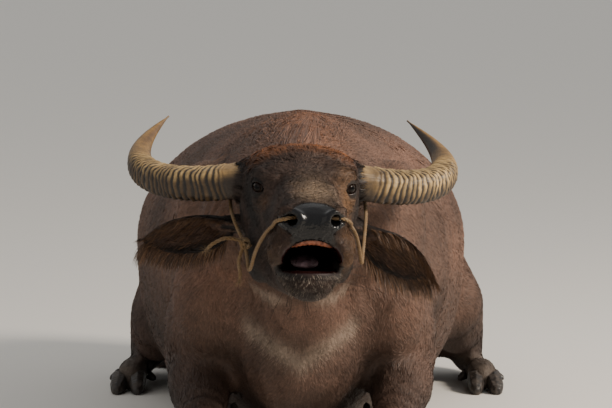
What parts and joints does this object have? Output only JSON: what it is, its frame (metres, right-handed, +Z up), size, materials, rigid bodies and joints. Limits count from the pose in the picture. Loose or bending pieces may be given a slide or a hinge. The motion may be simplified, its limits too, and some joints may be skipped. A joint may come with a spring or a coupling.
{
  "type": "water buffalo",
  "caption": "Life-size swamp-type water buffalo lying on its brisket, head stretched forward, mouth open, long swept-back ridged horns, rope halter through the nose.",
  "frame": {"origin": "middle of the bounding box at floor level", "axes": "+Z up, +Y from the head to the tail along the body, +X to the animal's left"},
  "size_m": [0.9984, 2.5242, 0.7673],
  "materials": {
    "hide": "dark grey-brown hide, sparsely haired, with copper-brown hair on the crown and back",
    "muzzle_mouth": "wet orange-pink mouth lining",
    "horn": "dry ridged keratin, tan to dark brown",
    "eye": "wet, near black",
    "hoof": "dark grey keratin",
    "long_hair": "coarse dark brown hair",
    "rope": "twisted tan fibre"
  },
  "bodies": {
    "root": {"dental_pad": "muzzle_mouth", "dewclaw_fore_left_inner": "hoof", "dewclaw_fore_left_outer": "hoof", "dewclaw_fore_right_inner": "hoof", "dewclaw_fore_right_outer": "hoof", "dewclaw_hind_left_inner": "hoof", "dewclaw_hind_left_outer": "hoof", "dewclaw_hind_right_inner": "hoof", "dewclaw_hind_right_outer": "hoof", "ear_left": "hide", "ear_right": "hide", "eye_left": "eye", "eye_right": "eye", "foreleg_left": "hide", "foreleg_right": "hide", "halter_knot": "rope", "halter_rope": "rope", "head": "hide", "hindleg_left": "hide", "hindleg_right": "hide", "hoof_fore_left_inner": "hoof", "hoof_fore_left_outer": "hoof", "hoof_fore_right_inner": "hoof", "hoof_fore_right_outer": "hoof", "hoof_hind_left_inner": "hoof", "hoof_hind_left_outer": "hoof", "hoof_hind_right_inner": "hoof", "hoof_hind_right_outer": "hoof", "horn_left": "horn", "horn_right": "horn", "lower_jaw": "hide", "neck": "hide", "tail": "hide", "tail_switch": "long_hair", "tongue": "muzzle_mouth", "torso": "hide"}
  },
  "joints": []
}
